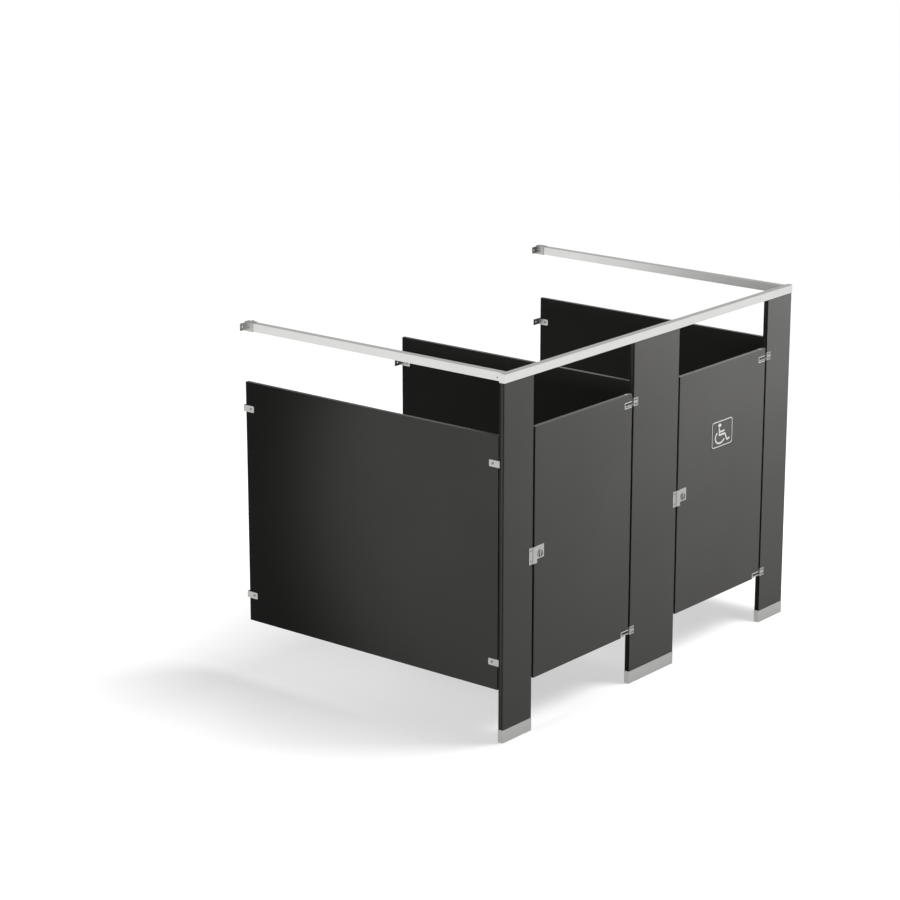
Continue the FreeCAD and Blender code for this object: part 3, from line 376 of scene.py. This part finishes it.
def cast_finish(colour):
    """Satin plated casting: soft cloudy sheen and a fine blasted grain."""
    finish = Finish("satin_zinc")
    cloud = finish.noise(scale=34.0)
    grain = finish.noise(scale=1300.0, detail=2.0)
    finish.set(Base_Color=cloud.shades(colour, dark=0.93, light=1.04))
    finish.set(Metallic=1.0, Roughness=0.30 + 0.12 * cloud + 0.06 * grain)
    finish.set(Normal=finish.bump(grain, distance=0.00004, strength=0.4))
    return finish.material


def plated_finish(colour):
    """Zinc plating: small crystal patches, a little warm."""
    finish = Finish("zinc_steel")
    patch = finish.cells(scale=150.0)
    cloud = finish.noise(scale=40.0)
    tone = patch.shades(colour, dark=0.82, light=1.08, low=0.1, high=0.6)
    dull = 0.4 * cloud
    finish.set(Base_Color=dull.mix(tone, rgba(colour, shade=0.9)))
    finish.set(Metallic=1.0, Roughness=0.38 + 0.16 * patch + 0.08 * cloud)
    finish.set(Normal=finish.bump(patch, distance=0.00004, strength=0.4))
    return finish.material


def screw_finish(name, colour):
    """Turned screw steel, a little duller in places."""
    finish = Finish(name)
    cloud = finish.noise(scale=160.0)
    line = finish.noise(scale=2400.0, detail=2.0)
    finish.set(Base_Color=cloud.shades(colour, dark=0.86, light=1.08))
    finish.set(Metallic=1.0, Roughness=0.28 + 0.14 * cloud + 0.05 * line)
    finish.set(Normal=finish.bump(line, distance=0.00002, strength=0.4))
    return finish.material


def moulded_finish(name, colour, rough, grain_scale, depth):
    """Moulded nylon or rubber with a fine grain."""
    finish = Finish(name)
    grain = finish.noise(scale=grain_scale)
    cloud = finish.noise(scale=25.0, detail=2.0)
    finish.set(Base_Color=cloud.shades(colour, dark=0.92, light=1.06))
    finish.set(Roughness=rough + 0.12 * grain)
    finish.set(Normal=finish.bump(grain, distance=depth, strength=0.5))
    return finish.material


def sign_finish(name, colour, rough):
    """Matt sign plastic with a faint pebbled face."""
    finish = Finish(name)
    pebble = finish.noise(scale=900.0, detail=2.0)
    cloud = finish.noise(scale=12.0, detail=2.0)
    finish.set(Base_Color=cloud.shades(colour, dark=0.97, light=1.03))
    finish.set(Roughness=rough + 0.10 * pebble, Specular_IOR_Level=MATT_SPECULAR)
    finish.set(Normal=finish.bump(pebble, distance=0.00003, strength=0.4))
    return finish.material


def dress(material, *names):
    """Gives CAD nodes a finish."""
    for name in names:
        mesh = NODES[name].data
        mesh.materials.clear()
        mesh.materials.append(material)


def nodes_of(slot):
    """CAD nodes that share a material slot."""
    return sorted(name for name in NODES if SLOT_OF[name] == slot)


def link(name, data):
    """New object in the scene."""
    obj = bpy.data.objects.new(name, data)
    bpy.context.scene.collection.objects.link(obj)
    return obj


def islands(mesh):
    """Corner places of each separate solid in a mesh."""
    bm = bmesh.new()
    bm.from_mesh(mesh)
    bmesh.ops.remove_doubles(bm, verts=bm.verts, dist=WELD_GAP)
    left = set(bm.verts)
    groups = []
    while left:
        front = [left.pop()]
        group = []
        while front:
            vert = front.pop()
            group.append(vert.co[:])
            for edge in vert.link_edges:
                other = edge.other_vert(vert)
                if other in left:
                    left.remove(other)
                    front.append(other)
        groups.append(np.array(group))
    bm.free()
    return sorted(groups, key=lambda group: tuple(np.round(group.mean(0), PLACE_DIGITS)))


def screw_place(points):
    """Seat, direction into the work and sizes of one screw, read from its solid."""
    low, high = points.min(0), points.max(0)
    centre = (low + high) / 2
    lean = points.mean(0) - centre
    axis = int(np.abs(lean).argmax())
    inward = -1.0 if lean[axis] > 0 else 1.0
    depth = (points[:, axis] - centre[axis]) * inward
    cross = np.delete(points - centre, axis, 1)
    radius = np.hypot(cross[:, 0], cross[:, 1])
    head_r = radius.max()
    seat = depth[radius > RIM_SHARE * head_r].max()
    shank_r = radius[depth > depth.max() - TIP_BAND].max()
    aim = list(ORIGIN)
    aim[axis] = inward
    place = centre.copy()
    place[axis] += seat * inward
    sizes = (head_r, seat - depth.min(), shank_r, depth.max() - seat)
    return place, aim, tuple(round(float(size), PLACE_DIGITS) for size in sizes)


def screw_blank(sizes, shape):
    """Domed screw with a pinned six-lobe recess; seat at the origin, shank along +Z."""
    head_r, head_h, shank_r, length = sizes
    count = shape.sides
    bm = bmesh.new()

    def ring(radius, z, lobe_depth=0.0):
        corners = []
        for i in range(count):
            turn = 2 * pi * i / count
            r = radius * (1 + lobe_depth * cos(LOBES * turn))
            corners.append(bm.verts.new((r * cos(turn), r * sin(turn), z)))
        return corners

    mouth_r = head_r * shape.recess
    rings = [
        ring(head_r * shape.pin, -head_h * PIN_TOP),
        ring(head_r * shape.pin, -head_h * PIN_FOOT),
        ring(mouth_r * RECESS_TAPER, -head_h * RECESS_FLOOR, LOBE_DEPTH),
        ring(mouth_r, -head_h * RECESS_MOUTH, LOBE_DEPTH),
    ]
    rings += [ring(head_r * across, -head_h * up) for across, up in DOME]
    rings += [ring(head_r, 0.0), ring(shank_r, 0.0)]
    pitch = length * THREAD_SPAN / shape.threads
    for turn in range(shape.threads):
        z = length * THREAD_START + turn * pitch
        rings.append(ring(shank_r * THREAD_ROOT, z))
        rings.append(ring(shank_r, z + pitch / 2))
    rings.append(ring(shank_r * TIP_SHOULDER, length * TIP_START))
    rings.append(ring(shank_r * TIP_END, length))
    for first, second in zip(rings, rings[1:]):
        for i in range(count):
            j = (i + 1) % count
            bm.faces.new((first[i], first[j], second[j], second[i]))
    bm.faces.new(rings[0])
    bm.faces.new(rings[-1])
    bmesh.ops.recalc_face_normals(bm, faces=bm.faces)
    for face in bm.faces:
        face.smooth = True
    for edge in bm.edges:
        edge.smooth = edge.calc_face_angle(0.0) < CRISP_ANGLE
    mesh = bpy.data.meshes.new("screw_blank")
    bm.to_mesh(mesh)
    bm.free()
    return mesh


def screw_tree():
    """Geometry nodes that set a screw at each point, aimed by the point and turned at random."""
    tree = bpy.data.node_groups.new("set_screws", "GeometryNodeTree")
    given = {"Geometry": "Geometry", "Screw": "Object", "Finish": "Material", "Seed": "Int"}
    for name, kind in given.items():
        tree.interface.new_socket(name, in_out="INPUT", socket_type="NodeSocket" + kind)
    tree.interface.new_socket("Geometry", in_out="OUTPUT", socket_type="NodeSocketGeometry")
    sock = Sock(tree)
    points, screw, finish, seed = (sock.make("NodeGroupInput", out=name) for name in given)
    aim = sock.make(
        "GeometryNodeInputNamedAttribute", {"data_type": "FLOAT_VECTOR"}, "Attribute", Name="aim")
    facing = sock.make("FunctionNodeAlignRotationToVector", {"axis": "Z"}, Vector=aim)
    # Input 3 and output 1 of this node are its largest number and its result where it gives a float
    angle = sock.make("FunctionNodeRandomValue", {"data_type": "FLOAT"}, 1, i3=2 * pi, Seed=seed)
    turn = sock.make("FunctionNodeAxisAngleToRotation", Axis=UP, Angle=angle)
    spun = sock.make(
        "FunctionNodeRotateRotation", {"rotation_space": "LOCAL"}, Rotation=facing, Rotate_By=turn)
    blank = sock.make(
        "GeometryNodeObjectInfo", {"transform_space": "ORIGINAL"}, "Geometry", Object=screw)
    placed = sock.make("GeometryNodeInstanceOnPoints", Points=points, Instance=blank, Rotation=spun)
    real = sock.make("GeometryNodeRealizeInstances", Geometry=placed)
    coated = sock.make("GeometryNodeSetMaterial", Geometry=real, Material=finish)
    sock.make("NodeGroupOutput", Geometry=coated)
    return tree


def set_inputs(modifier, **values):
    """Sets a node modifier's inputs by their identifiers, found from the sockets' names."""
    for item in modifier.node_group.interface.items_tree:
        if item.in_out == "INPUT" and item.name in values:
            modifier[item.identifier] = values[item.name]


def as_plain_mesh(obj):
    """Takes what an object's modifiers make as its own mesh."""
    bpy.context.view_layer.update()
    graph = bpy.context.evaluated_depsgraph_get()
    mesh = bpy.data.meshes.new_from_object(obj.evaluated_get(graph))
    obj.modifiers.clear()
    obj.data = mesh


def screws_of_a_kind(name, sizes, places, tree, finish, shape):
    """Plain mesh of all screws of one size."""
    blank = link(name + "_blank", screw_blank(sizes, shape))
    mesh = bpy.data.meshes.new(name)
    mesh.from_pydata([place for place, _ in places], [], [])
    aims = mesh.attributes.new("aim", "FLOAT_VECTOR", "POINT")
    aims.data.foreach_set("vector", [part for _, aim in places for part in aim])
    obj = link(name, mesh)
    modifier = obj.modifiers.new("set_screws", "NODES")
    modifier.node_group = tree
    set_inputs(modifier, Screw=blank, Finish=finish, Seed=shape.seed)
    as_plain_mesh(obj)
    made = obj.data
    bpy.data.objects.remove(obj)
    bpy.data.objects.remove(blank)
    return made


def set_of_screws(node, tree, finish, shape):
    """Detailed screws in place of one CAD node of plain ones."""
    kinds = {}
    for points in islands(NODES[node].data):
        place, aim, sizes = screw_place(points)
        kinds.setdefault(sizes, []).append((place, aim))
    bm = bmesh.new()
    for sizes, places in sorted(kinds.items()):
        bm.from_mesh(screws_of_a_kind(node + "_set", sizes, places, tree, finish, shape))
    mesh = bpy.data.meshes.new(node + "_set")
    bm.to_mesh(mesh)
    bm.free()
    mesh.materials.append(finish)
    obj = link(node + "_set", mesh)
    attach(obj, BODY_OF[node])
    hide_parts(node)


class PieceOperator:
    """What every operator of the partition shares."""

    bl_options = {"REGISTER", "UNDO"}

    def finishes(self):
        """Colours of the partition's finishes."""
        return bpy.context.scene.partition_finishes


class PARTITION_OT_boards(PieceOperator, bpy.types.Operator):
    """Powder-coated pilasters, divider panels and doors"""

    bl_idname = "partition.boards"
    bl_label = "Boards"

    def execute(self, context):
        dress(coat_finish(self.finishes().coat), *nodes_of("board_coat"))
        return {"FINISHED"}


class PARTITION_OT_rails(PieceOperator, bpy.types.Operator):
    """Satin headrail, end caps and return rails, drawn along their length"""

    bl_idname = "partition.rails"
    bl_label = "Rails"

    def execute(self, context):
        colour = self.finishes().rail
        front = brushed_finish("headrail_satin", colour, along="x", rough=0.30)
        returns = brushed_finish("return_satin", colour, along="y", rough=0.30)
        dress(front, "front_headrail", "headrail_end_caps")
        dress(returns, "left_return_rail", "right_return_rail")
        return {"FINISHED"}


class PARTITION_OT_steel(PieceOperator, bpy.types.Operator):
    """Brushed shoes, brackets, hinge liners, hinge pins, latch cases and bolts"""

    bl_idname = "partition.steel"
    bl_label = "Shoes and Brackets"

    def execute(self, context):
        colours = self.finishes()
        names = nodes_of("stainless")
        shoes = [name for name in names if name.endswith("_shoe")]
        folded = [name for name in names if name.endswith("brackets")]
        others = [name for name in names if name not in shoes + folded]
        dress(brushed_finish("shoe_brushed", colours.steel, along="x", rough=0.34), *shoes)
        dress(brushed_finish("bracket_brushed", colours.folded, along="y", rough=0.32), *folded)
        dress(brushed_finish("liner_brushed", colours.liner, along="z", rough=0.30), *others)
        return {"FINISHED"}


class PARTITION_OT_castings(PieceOperator, bpy.types.Operator):
    """Satin hinges, keepers, latch plates, spindles, thumb turns and coat hooks"""

    bl_idname = "partition.castings"
    bl_label = "Hinges, Latches and Hooks"

    def execute(self, context):
        dress(cast_finish(self.finishes().zinc), *nodes_of("satin_zinc"))
        return {"FINISHED"}


class PARTITION_OT_feet(PieceOperator, bpy.types.Operator):
    """Plated floor bars, levelling studs and nuts"""

    bl_idname = "partition.feet"
    bl_label = "Feet"

    def execute(self, context):
        dress(plated_finish(self.finishes().plating), *nodes_of("zinc_steel"))
        return {"FINISHED"}


class PARTITION_OT_cushions(PieceOperator, bpy.types.Operator):
    """Nylon hinge bushes, rubber keeper strips and hook tips"""

    bl_idname = "partition.cushions"
    bl_label = "Bushes and Rubber"

    def execute(self, context):
        colours = self.finishes()
        nylon = moulded_finish(
            "nylon", colours.nylon, rough=0.42, grain_scale=700.0, depth=0.00003)
        rubber = moulded_finish(
            "rubber", colours.rubber, rough=0.70, grain_scale=1200.0, depth=0.00006)
        dress(nylon, *nodes_of("nylon"))
        dress(rubber, *nodes_of("rubber"))
        return {"FINISHED"}


class PARTITION_OT_sign(PieceOperator, bpy.types.Operator):
    """Sign plate with its raised figure"""

    bl_idname = "partition.sign"
    bl_label = "Sign"

    def execute(self, context):
        colours = self.finishes()
        dress(sign_finish("sign_face", colours.sign_face, rough=0.42), *nodes_of("sign_face"))
        dress(sign_finish("sign_white", colours.sign_figure, rough=0.50), *nodes_of("sign_white"))
        return {"FINISHED"}


class PARTITION_OT_screws(PieceOperator, bpy.types.Operator):
    """Pinned screws of hinges, keepers, latches, brackets and rails, and the through bolts"""

    bl_idname = "partition.screws"
    bl_label = "Screws"

    def execute(self, context):
        shape = context.scene.partition_screws
        plain = screw_finish("screw_steel", self.finishes().screw)
        matched = screw_finish("keeper_screw_steel", self.finishes().zinc)
        tree = screw_tree()
        for node in nodes_of("screw_steel"):
            finish = matched if node == "keeper_screws" else plain
            if node.endswith("screws"):
                set_of_screws(node, tree, finish, shape)
            dress(finish, node)
        return {"FINISHED"}


class PARTITION_OT_stage(PieceOperator, bpy.types.Operator):
    """Pale floor, soft lamps and the camera"""

    bl_idname = "partition.stage"
    bl_label = "Stage"

    def execute(self, context):
        stage = context.scene.partition_stage
        floor = self.floor(stage)
        self.world(stage)
        for name, lamp in LAMPS.items():
            self.lamp(name + "_lamp", getattr(stage, name), **lamp)
        self.camera()
        context.scene.view_settings.view_transform = "Standard"
        return {"FINISHED"}

    def rays(self, sock):
        """1 for camera rays, 1 for rays off metal, and 1 for all rays that show the background."""
        camera, glossy, through = (
            sock.make("ShaderNodeLightPath", out="Is " + kind + " Ray")
            for kind in ("Camera", "Glossy", "Transmission"))
        return camera, glossy, camera.most(glossy).most(through)

    def floor(self, stage):
        """Floor disc that keeps soft shadows near the partition and is white further out."""
        bm = bmesh.new()
        bmesh.ops.create_circle(
            bm, cap_ends=True, segments=FLOOR_SIDES, radius=stage.floor_radius)
        bmesh.ops.translate(bm, verts=bm.verts, vec=FLOOR_MIDDLE)
        mesh = bpy.data.meshes.new("floor")
        bm.to_mesh(mesh)
        bm.free()
        finish = Finish("floor_pale")
        camera, _, seen = self.rays(finish.at)
        bounce, tone = rgba(WHITE, stage.floor_dim), rgba(WHITE, stage.floor_tone)
        finish.set(Base_Color=camera.mix(bounce, tone))
        finish.set(Roughness=1.0, Specular_IOR_Level=0.0)
        low, high = (np.array(corner) for corner in CAD_BOX)
        beyond = finish.at.vector("SUBTRACT", tuple((low + high) / 2)).vector("ABSOLUTE")
        beyond = beyond.vector("SUBTRACT", tuple((high - low) / 2)).vector("MAXIMUM")
        fade = beyond.vector("LENGTH", out="Value").span(stage.fade_start, stage.fade_end)
        glow = seen * (stage.floor_lift + fade * (1.0 - stage.floor_lift))
        finish.set(Emission_Color=glow.mix(rgba(WHITE, 0.0), rgba(WHITE)), Emission_Strength=1.0)
        obj = link("floor", mesh)
        mesh.materials.append(finish.material)
        return obj

    def world(self, stage):
        """White surround in the picture, dimmer overhead to metal, with a low light from all round."""
        world = bpy.data.worlds.new("surround")
        world.use_nodes = True
        tree = world.node_tree
        background = tree.nodes["Background"]
        sock = Sock(tree)
        _, glossy, seen = self.rays(sock)
        aim = sock.make("ShaderNodeTexCoord", out="Generated")
        slope = sock.make("ShaderNodeSeparateXYZ", out="Z", Vector=aim)
        dusk = glossy * slope.span(0.0, OVERHEAD_SLOPE) * stage.overhead
        strength = seen * (1.0 - stage.ambient) + stage.ambient - dusk
        sock.feed(background.inputs["Color"], rgba(WHITE))
        sock.feed(background.inputs["Strength"], strength)
        bpy.context.scene.world = world

    def lamp(self, name, watts, kind, place, aim, **settings):
        """Lamp of a kind, aimed at a place, that metal doesn't mirror."""
        data = bpy.data.lights.new(name, kind)
        data.energy = watts
        for key, value in settings.items():
            setattr(data, key, value)
        obj = link(name, data)
        obj.visible_camera = False
        obj.visible_glossy = False
        obj.location = place
        obj.rotation_mode = "QUATERNION"
        obj.rotation_quaternion = (Vector(aim) - Vector(place)).to_track_quat("-Z", "Y")

    def camera(self):
        """Camera at the picture's place."""
        data = bpy.data.cameras.new("camera")
        data.sensor_width = CAMERA_SENSOR
        data.lens = CAMERA_LENS
        data.clip_end = CAMERA_REACH
        obj = link("camera", data)
        yaw, pitch = radians(CAMERA_YAW), radians(CAMERA_PITCH)
        look = Vector((sin(yaw) * cos(pitch), cos(yaw) * cos(pitch), sin(pitch)))
        obj.location = CAMERA_PLACE
        obj.rotation_mode = "QUATERNION"
        obj.rotation_quaternion = look.to_track_quat("-Z", "Y")
        bpy.context.scene.camera = obj


GROUPS = {
    PartitionFinishes: "partition_finishes",
    PartitionScrews: "partition_screws",
    PartitionStage: "partition_stage",
}

OPERATORS = (
    PARTITION_OT_boards, PARTITION_OT_rails, PARTITION_OT_steel, PARTITION_OT_castings,
    PARTITION_OT_feet, PARTITION_OT_cushions, PARTITION_OT_sign, PARTITION_OT_screws,
    PARTITION_OT_stage,
)


class PARTITION_PT_panel(bpy.types.Panel):
    """The partition's pieces and values"""

    bl_idname = "PARTITION_PT_panel"
    bl_label = "Toilet Partition"
    bl_space_type = "VIEW_3D"
    bl_region_type = "UI"
    bl_category = "Partition"

    def draw(self, context):
        for operator in OPERATORS:
            self.layout.operator(operator.bl_idname)
        for group, name in GROUPS.items():
            for value in group.__annotations__:
                self.layout.prop(getattr(context.scene, name), value)


CLASSES = (*GROUPS, *OPERATORS, PARTITION_PT_panel)


def register():
    """Adds the classes, and their values to scenes."""
    for cls in CLASSES:
        bpy.utils.register_class(cls)
    for group, name in GROUPS.items():
        setattr(bpy.types.Scene, name, PointerProperty(type=group))


def unregister():
    """Takes the values and the classes away again."""
    for name in GROUPS.values():
        delattr(bpy.types.Scene, name)
    for cls in reversed(CLASSES):
        bpy.utils.unregister_class(cls)


def main():
    """Makes all pieces and the stage."""
    register()
    for operator in OPERATORS:
        group, name = operator.bl_idname.split(".")
        getattr(getattr(bpy.ops, group), name)()


if __name__ == "__main__":
    main()
